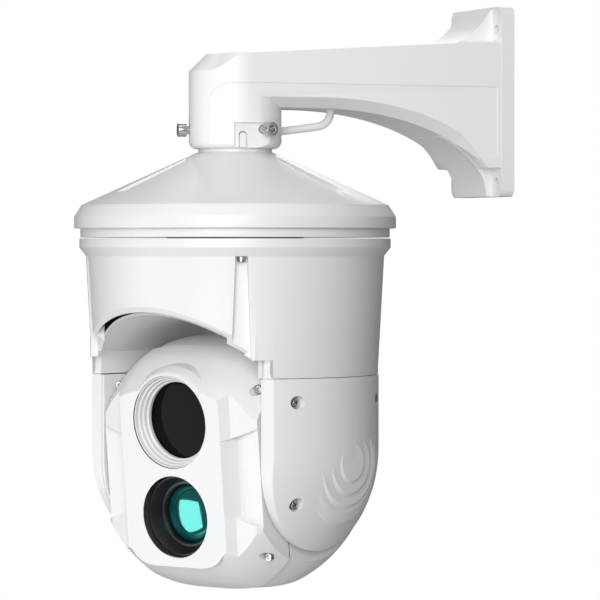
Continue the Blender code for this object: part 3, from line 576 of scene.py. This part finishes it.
def fixed_pieces():
    neck = [(24, -14), (33.5, -14), (35, -15.5), (35, -62), (49, -62), (49, -66), (24, -66)]
    obj = solid(lathe(rounded(neck, 0.8, 3), FINE))
    key = prism(arc((0, -36.1), 3.1, 0, 180, 12) + [(-3.1, -47), (3.1, -47)], "X", 33, 41)
    join(obj, turned(key, KEY_ANGLE))
    finished(obj, "neck_adapter", DOME, "bracket", WHITE)

    cap = [CONE_TOP, CONE_FOOT, (152.7, -112), (152.7, -123), (149.7, -123)]
    cap += [(149.7, -112.9), (143.8, -105.6), (35.3, -56)]
    obj = solid(lathe(rounded(cap, 1.2, 4), ROUND))
    slope = (CONE_TOP[1] - CONE_FOOT[1]) / (CONE_FOOT[0] - CONE_TOP[0])
    grooves = []
    for angle in FACET_ANGLES:
        sections = []
        for radius, half, deep in ((49, 4, 0.3), (53, 4.4, 2.8), (114, 9.2, 2.8), (119, 9.6, 0)):
            surface_z = CONE_TOP[1] - slope * (radius - CONE_TOP[0])
            sections.append(
                [(radius, -half, surface_z - deep), (radius, half, surface_z - 0.05),
                 (radius, half + 0.5, surface_z + 15), (radius, -half - 0.5, surface_z + 15)]
            )
        grooves.append(turned(loft(sections), angle))
    cut(obj, *grooves)
    finished(obj, "sunshield_cap", DOME, "bracket", WHITE, 0.4, 20)

    ring = [(12, -124), (12, -130), (38, -130), (38, -148), (44, -148), (44, -130), (141, -130)]
    ring += [(141, -131.5), (146.8, -131.5), (146.8, -109), (142.8, -109), (142.8, -124)]
    ring += [(50, -124), (50, -66.3), (26, -66.3), (26, -71), (44, -71), (44, -124)]
    finished(solid(lathe(rounded(ring, 0.6, 3), ROUND)), "base_ring", DOME, "bracket",
             WHITE)


# ---------------------------------------------------------------- turning shells

RING_R = 147.7
BODY_TOP_R = 141.5
SEAM_R = 135.4
RING_TOP = 210.5
RING_BOTTOM = 202
BODY_TOP = 194
SEAM = 82
WALL = 3
ARCH_R = 136
ARCH_FLARE_R = 148
FLARE_START = 50
OVERHANG = 99
SCREW_CIRCLE_R = 136.4
COVER_FACE = 97.4
COLUMN_OUTER = 109
COLUMN_BACK = 76
LINER_R = 140
LINER_WALL = 2.5
LOBE_DEPTH = 81
LOBE_R = 136.3
INNER_WALL = 94.6
CHANNEL_ANGLE = 41
SEAT_DEPTH = 7
DISC_SHIFT = (0, 5, 3)
SIDE_SCREWS = ((61, 60, 121.9), (-61, 60, 121.9), (55, -34, 115.9), (-55, -34, 115.9))


def drum_radius(z):
    share = (z - SEAM) / (BODY_TOP - SEAM)
    return SEAM_R + (BODY_TOP_R - SEAM_R) * min(max(share, 0), 1)


def flare(facing):
    """The sloped band round the arch, on the front or the back."""
    sections = []
    for k in range(81):
        a = math.radians(FLARE_START + (180 - 2 * FLARE_START) * k / 80)
        drum = drum_radius(ARCH_FLARE_R * math.sin(a))
        rim = math.sqrt(max(drum**2 - (ARCH_FLARE_R * math.cos(a)) ** 2, 0))
        section = []
        for radius, y in ((ARCH_R - 1.5, rim - 8), (ARCH_FLARE_R + 1.2, rim + 0.9),
                          (ARCH_FLARE_R + 1.2, 170), (ARCH_R - 1.5, 170)):
            section.append((radius * math.cos(a), facing * y, radius * math.sin(a)))
        sections.append(section)
    return loft(sections)


def housing():
    outer = [(RING_R - WALL, RING_TOP), (RING_R, RING_TOP), (RING_R, RING_BOTTOM)]
    outer += [(BODY_TOP_R, BODY_TOP), (SEAM_R, SEAM + 0.2), (SEAM_R - WALL, SEAM + 0.2)]
    outer += [(BODY_TOP_R - WALL, BODY_TOP - 0.8), (RING_R - WALL, RING_BOTTOM - 0.8)]
    obj = solid(lathe(rounded(outer, 0.7, 3), ROUND))
    pads = []
    grooves = []
    for side in (0, 180):
        for angle in (-CHANNEL_ANGLE, CHANNEL_ANGLE):
            pad = box((-13, -137, SEAM + 1), (13, -127, 200))
            pads.append(turned(pad, angle + side))
            sections = []
            for z, half, floor in ((SEAM - 1, 10.5, 129.5), (BODY_TOP, 6.2, 134.2)):
                sections.append([(-half, -150, z), (half, -150, z),
                                 (half - 1, -floor, z), (-half + 1, -floor, z)])
            grooves.append(turned(loft(sections), angle + side))
            hole = moved(rod(2.6, BODY_TOP - 2, 205), (0, -SCREW_CIRCLE_R, 0))
            grooves.append(turned(hole, angle + side))
    join(obj, *pads)
    cut(obj, *grooves)
    cut(obj, rod(ARCH_R, -160, 160, ROUND, "-Y"))
    cut(obj, flare(-1), flare(1))
    for y in (-1, 1):
        low_y, high_y = sorted((y * LOBE_DEPTH, y * 150))
        cut(obj, box((-125, low_y, SEAM - 2), (125, high_y, OVERHANG)))
    for x in (-1, 1):
        for y in (-1, 1):
            low_x, high_x = sorted((x * COVER_FACE, x * COLUMN_OUTER))
            low_y, high_y = sorted((y * COLUMN_BACK, y * LOBE_DEPTH))
            column = box((low_x, low_y, SEAM + 0.2), (high_x, high_y, OVERHANG + 5))
            low_x, high_x = sorted((x * 94, x * COLUMN_OUTER))
            low_y, high_y = sorted((y * COLUMN_BACK, y * 92))
            corner = solid(box((low_x, low_y, OVERHANG + 0.3), (high_x, high_y, OVERHANG + 5)))
            trim(corner, rod(SEAM_R - 0.5, 80, 120, ROUND))
            join(obj, column)
            combine(obj, "UNION", [corner])
    finished(obj, "upper_housing", PAN, "pan_body", WHITE, 0.6, 25)


def liner():
    inner_end = math.degrees(math.acos(INNER_WALL / LINER_R))
    outer_end = math.degrees(math.acos((INNER_WALL + LINER_WALL) / (LINER_R + LINER_WALL)))
    foot = SEAM + 0.5
    outline = [(INNER_WALL, foot)] + arc((0, 0), LINER_R, inner_end, 180 - inner_end, 64)
    outline += [(-INNER_WALL, foot), (-INNER_WALL - LINER_WALL, foot)]
    outline += arc((0, 0), LINER_R + LINER_WALL, 180 - outer_end, outer_end, 64)
    outline += [(INNER_WALL + LINER_WALL, foot)]
    obj = solid(prism(outline, "Y", -140, 140))
    trim(obj, rod(127.3, 0, 160, ROUND))
    finished(obj, "cavity_liner", PAN, "pan_body", WHITE, 0.4)


def lobe_outline(size, top):
    """Side view of a lobe: straight sides closed below by an arc about the tilt axis."""
    return [(-size, top)] + arc((0, 0), size, 180, 360, 64) + [(size, top)]


def lobe_body(radius):
    """Drum above, ball below."""
    profile = [(0, 120), (radius, 120)]
    profile += [(x, 12 + z) for x, z in arc((0, 0), radius, 0, -84, 28)]
    return lathe([*profile, (0, 12 - radius)], ROUND)


def side_cover(name, side):
    low, high = sorted((side * COVER_FACE, side * 150))
    axis = "X" if side > 0 else "-X"
    obj = solid(prism(lobe_outline(LOBE_DEPTH, SEAM - 0.2), "X", low, high))
    trim(obj, lobe_body(LOBE_R))
    steps = [(0, 112), (60, 112), (60, 118), (57, 122), (47, 127), (43.5, 127), (40, 130.8)]
    steps += [(32, 130.8), (28.5, 133.8), (20, 133.8), (17, 136), (0, 136)]
    join(obj, moved(lathe(rounded(steps, 1.2, 4), ROUND, axis), DISC_SHIFT))

    low, high = sorted((side * 90, side * 150))
    hollow = solid(prism(lobe_outline(LOBE_DEPTH - WALL, SEAM + 20), "X", low, high))
    trim(hollow, lobe_body(LOBE_R - WALL))
    bosses = [moved(rod(8.5, 80, 150, SMALL, axis), (0, y, z)) for y, z, _ in SIDE_SCREWS]
    cut(hollow, *bosses)
    combine(obj, "DIFFERENCE", [hollow])
    holes = []
    for y, z, surface_x in SIDE_SCREWS:
        seat = surface_x - SEAT_DEPTH
        profile = [(0, 90), (2.8, 90), (2.8, seat), (6.2, seat), (6.2, 150), (0, 150)]
        holes.append(moved(lathe(profile, SMALL, axis), (0, y, z)))
    cut(obj, *holes)
    finished(obj, name, PAN, "pan_body", WHITE, 0.6, 25)


def arm_shell(name, side):
    low, high = sorted((side * INNER_WALL, side * 97.1))
    outline = rounded(lobe_outline(LOBE_DEPTH - 0.3, SEAM - 0.5), 0.6, 3)
    obj = solid(prism(outline, "X", low, high))
    cut(obj, rod(17, 80, 110, FINE, "X" if side > 0 else "-X"))
    finished(obj, name, PAN, "pan_body", WHITE, 0.4)


# ---------------------------------------------------------------- tilting head

BALL_R = 123
HALF_WIDTH = 92
FACE = 94
SPLIT = 42
PLATE_HALF = 59
PLATE_TOP = 72
PLATE_FOOT = -87
PLATE_CORNER = 34
EDGE_DROP = 21.4
SIDE_SPHERE_R = 131.5
WINDOW_Z = 49
WINDOW_R = 43.5
THERMAL_Z = -40
THERMAL_R = 38.5
COVER_SCREWS = tuple((x, z) for x in (-84, 84) for z in (-78, 78))


def crown(x):
    """Radius of the head about the tilt axis, full in the middle and falling to the sides."""
    drop = EDGE_DROP * (abs(x) / HALF_WIDTH) ** 3.2
    return min(BALL_R - drop, math.sqrt(SIDE_SPHERE_R**2 - x * x))


def head_body(smaller, half_width):
    places = [half_width * (2 * k / 48 - 1) for k in range(49)]
    profile = [(0, -half_width)] + [(crown(x) - smaller, x) for x in places] + [(0, half_width)]
    return lathe(profile, ROUND, "X")


def plate():
    """The raised face: straight sides, round corners below, fading into the crown above."""
    outline = [(-PLATE_HALF, PLATE_TOP), (-PLATE_HALF, PLATE_FOOT)]
    outline += [(-x, z) for x, z in reversed(outline)]
    outline = [outline[0], *rounded(outline, PLATE_CORNER, 14)[15:45], outline[3]]
    return prism(outline, "Y", -FACE, -60)


FAR = 140
EAR = (65.5, 85.5)
EAR_END = (87, 83)
EAR_OUTER = 79
POCKET = 78
CORNER_NORMAL = Vector((0.55, -0.66, 0.5)).normalized()
CORNER_DISTANCE = 131.5


def face_cuts(wall):
    """What is cut from each side of the face, or the same shapes set inwards by a wall."""
    cuts = []
    for side in (-1, 1):
        edge = (side * (PLATE_HALF - wall), -FACE + wall)
        close = [(side * FAR, -FAR), (side * (PLATE_HALF - wall), -FAR)]
        ear = [edge, (side * (EAR[0] - wall), wall - EAR[1])]
        ear += [(side * (EAR_END[0] - wall), wall - EAR_END[1])]
        ear += [(side * HALF_WIDTH, wall - EAR_OUTER), (side * FAR, wall - EAR_OUTER)]
        cuts.append(prism(ear + close, "Z", -FAR, FAR))
        trough = [edge, (side * (EAR[0] + 1 - wall), wall - POCKET)]
        trough += [(side * FAR, wall - POCKET - 1)]
        pocket = solid(prism(trough + close, "Z", -FAR, FAR))
        inner = side * (PLATE_HALF - 5)
        band = [(inner, -35 - wall), (side * FAR, -64 - wall), (side * FAR, 58 + wall),
                (inner, 31 + wall)]
        trim(pocket, prism(band, "Y", -FAR, 0))
        shape = bmesh.new()
        shape.from_mesh(pocket.data)
        bpy.data.objects.remove(pocket)
        cuts.append(shape)
        for level in (-1, 1):
            normal = Vector((side * CORNER_NORMAL.x, CORNER_NORMAL.y, level * CORNER_NORMAL.z))
            corner = box((-FAR, -FAR, 0), (FAR, FAR, FAR))
            corner.transform(pointing(normal, normal * (CORNER_DISTANCE - wall)))
            cuts.append(corner)
    return cuts


def front_cover():
    obj = solid(head_body(0, HALF_WIDTH))
    cut(obj, *face_cuts(0))
    rim = rounded([(0, 60), (53, 60), (52, 84), (46.5, FACE), (0, FACE)], 4, 6)
    join(obj, plate(), moved(lathe(rim, FINE, "-Y"), (0, 0, WINDOW_Z)))
    hollow = solid(head_body(WALL, HALF_WIDTH - WALL))
    cut(hollow, *face_cuts(WALL))
    cut(hollow, box((-130, -150, -140), (130, -93.7, 140)))
    bosses = [moved(rod(6.5, 20, 120, SMALL, "-Y"), (x, 0, z)) for x, z in COVER_SCREWS]
    cut(hollow, *bosses)
    combine(obj, "DIFFERENCE", [hollow])
    trim(obj, box((-130, -FACE, -140), (130, -SPLIT - 0.9, 140)))
    holes = [
        moved(rod(WINDOW_R, 50, 120, ROUND, "-Y"), (0, 0, WINDOW_Z)),
        moved(rod(THERMAL_R, 50, 120, ROUND, "-Y"), (0, 0, THERMAL_Z)),
    ]
    for x, z in COVER_SCREWS:
        profile = [(0, 30), (2.6, 30), (2.6, 60), (4.9, 60), (4.9, 120), (0, 120)]
        holes.append(moved(lathe(profile, SMALL, "-Y"), (x, 0, z)))
    cut(obj, *holes)
    finished(obj, "front_cover", TILT, "tilt_head", WHITE, BOLD_EDGE, 28)


def rear_shell():
    obj = solid(head_body(WALL, HALF_WIDTH))
    combine(obj, "DIFFERENCE", [solid(head_body(2 * WALL, HALF_WIDTH - WALL))])
    trim(obj, box((-130, -SPLIT + 0.9, -140), (130, 140, 140)))
    cut(obj, rod(17, -100, 100, FINE, "X"))
    finished(obj, "rear_shell", TILT, "tilt_head", WHITE, 0.6)
    seal = solid(head_body(3.5, HALF_WIDTH - 0.5))
    combine(seal, "DIFFERENCE", [solid(head_body(6.5, HALF_WIDTH - 3.5))])
    trim(seal, box((-130, -SPLIT - 0.6, -140), (130, -SPLIT + 0.6, 140)))
    finished(seal, "head_gasket", TILT, "tilt_head", RUBBER)


def lens_piece(name, profile, material, height, corner=0.35):
    bm = moved(lathe(rounded(profile, corner, 3), ROUND, "-Y"), (0, 0, height))
    finished(solid(bm), name, TILT, "tilt_head", material)


def optics():
    steps = [(36, 76), (43.2, 76), (43.2, 93), (42.2, 93), (41.6, 89), (40.2, 88.4), (39.6, 85)]
    steps += [(38.2, 84.4), (37.6, 81), (36, 80)]
    lens_piece("window_trim", steps, WHITE, WINDOW_Z, corner=0.7)
    window = [(0, 72.5), (40.4, 72.5), (40.4, 75.7), (0, 75.7)]
    lens_piece("visible_window", window, GLASS, WINDOW_Z)
    barrel = [(27.9, 55), (38.1, 55), (38.1, 87.2), (36, 87.2), (31, 77), (31, 75.5)]
    barrel += [(28.5, 75.5), (27.9, 73)]
    lens_piece("thermal_barrel", barrel, BLACK, THERMAL_Z)
    dome = [(27.5 * math.sin(a), 68.5 + 7.5 * math.cos(a)) for a in
            [1.3 - 1.3 * k / 24 for k in range(25)]]
    dome[-1] = (0, 76)
    lens = [(0, 62), (27.5, 62), (27.5, 69), *dome]
    bm = moved(lathe(lens, ROUND, "-Y"), (0, 0, THERMAL_Z))
    finished(solid(bm), "thermal_lens", TILT, "tilt_head", COATED)


# ---------------------------------------------------------------- scene


def area_light(name, energy, size, location, target):
    light = bpy.data.lights.new(name, "AREA")
    light.shape = "RECTANGLE"
    light.size, light.size_y = size
    light.energy = energy
    obj = bpy.data.objects.new(name, light)
    obj.location = location
    obj.rotation_euler = (Vector(target) - Vector(location)).to_track_quat("-Z", "Y").to_euler()
    bpy.context.scene.collection.objects.link(obj)


VIEW_AZIMUTH = math.radians(65.5)
RIGHT = Vector((math.cos(VIEW_AZIMUTH), math.sin(VIEW_AZIMUTH), 0))
AWAY = Vector((-math.sin(VIEW_AZIMUTH), math.cos(VIEW_AZIMUTH), 0))
DOME_CENTRE = Vector((0, TILT_CENTRE.y, -0.25))


LENS = 204
ASIDE = 0.0616
DISTANCE = 3.23
EYE_HEIGHT = -0.1386
AIM_HEIGHT = -0.1909


def camera():
    data = bpy.data.cameras.new("camera")
    data.lens = LENS
    data.sensor_width = 36
    obj = bpy.data.objects.new("camera", data)
    centre = Vector((0, TILT_CENTRE.y, 0)) + RIGHT * ASIDE
    obj.location = centre - AWAY * DISTANCE + Vector((0, 0, EYE_HEIGHT))
    look = centre + Vector((0, 0, AIM_HEIGHT)) - obj.location
    obj.rotation_euler = look.to_track_quat("-Z", "Y").to_euler()
    bpy.context.scene.collection.objects.link(obj)
    bpy.context.scene.camera = obj


def around(side, height, distance):
    """A place round the dome, side in degrees to the right of the camera's direction."""
    a = math.radians(side)
    level = RIGHT * math.sin(a) - AWAY * math.cos(a)
    rise = math.radians(height)
    return DOME_CENTRE + distance * (level * math.cos(rise) + Vector((0, 0, math.sin(rise))))


def studio():
    scene = bpy.context.scene
    scene.view_settings.view_transform = "Standard"
    world = bpy.data.worlds.new("studio")
    world.use_nodes = True
    nodes = world.node_tree.nodes
    links = world.node_tree.links
    ray = nodes.new("ShaderNodeLightPath")
    fill = nodes["Background"]
    fill.inputs["Color"].default_value = (0.94, 0.97, 1.0, 1)
    fill.inputs["Strength"].default_value = 0.13
    seen = nodes.new("ShaderNodeBackground")
    seen.inputs["Strength"].default_value = 1.0
    seen.inputs["Color"].default_value = (1, 1, 1, 1)
    mix = nodes.new("ShaderNodeMixShader")
    links.new(ray.outputs["Is Camera Ray"], mix.inputs["Fac"])
    links.new(fill.outputs["Background"], mix.inputs[1])
    links.new(seen.outputs["Background"], mix.inputs[2])
    links.new(mix.outputs["Shader"], nodes["World Output"].inputs["Surface"])
    scene.world = world

    area_light("key", 44, (1.6, 1.6), around(-8, 13, 2.3), DOME_CENTRE)
    area_light("left", 7, (0.9, 0.9), around(-72, -20, 1.6), DOME_CENTRE - Vector((0, 0, 0.1)))
    area_light("top", 11, (1.6, 1.6), around(-20, 70, 2.0), DOME_CENTRE)
    area_light("right", 2.5, (0.8, 1.4), around(70, 12, 2.4), DOME_CENTRE)
    area_light("back", 22, (1.4, 1.4), around(170, 35, 2.4), DOME_CENTRE)

    bpy.ops.mesh.primitive_circle_add(
        vertices=128, radius=1.2, fill_type="NGON", location=(0, -0.2, -1.3)
    )
    floor = bpy.context.object
    floor.name = "floor"
    floor.data.materials.append(
        surface("floor_paper", (0.86, 0.86, 0.86), 0.7, grain=400, depth=0.02, shade=0.98)
    )


wall_bracket()
fixed_pieces()
housing()
liner()
side_cover("side_cover_right", 1)
side_cover("side_cover_left", -1)
arm_shell("arm_shell_right", 1)
arm_shell("arm_shell_left", -1)
front_cover()
rear_shell()
optics()
screws()

for entry in frame["record"]["subparts"]:
    node = frame["nodes"].get(entry["node"])
    if node:
        node.data.materials.clear()
        node.data.materials.append(BY_SLOT[entry["material_slot"]])

camera()
studio()
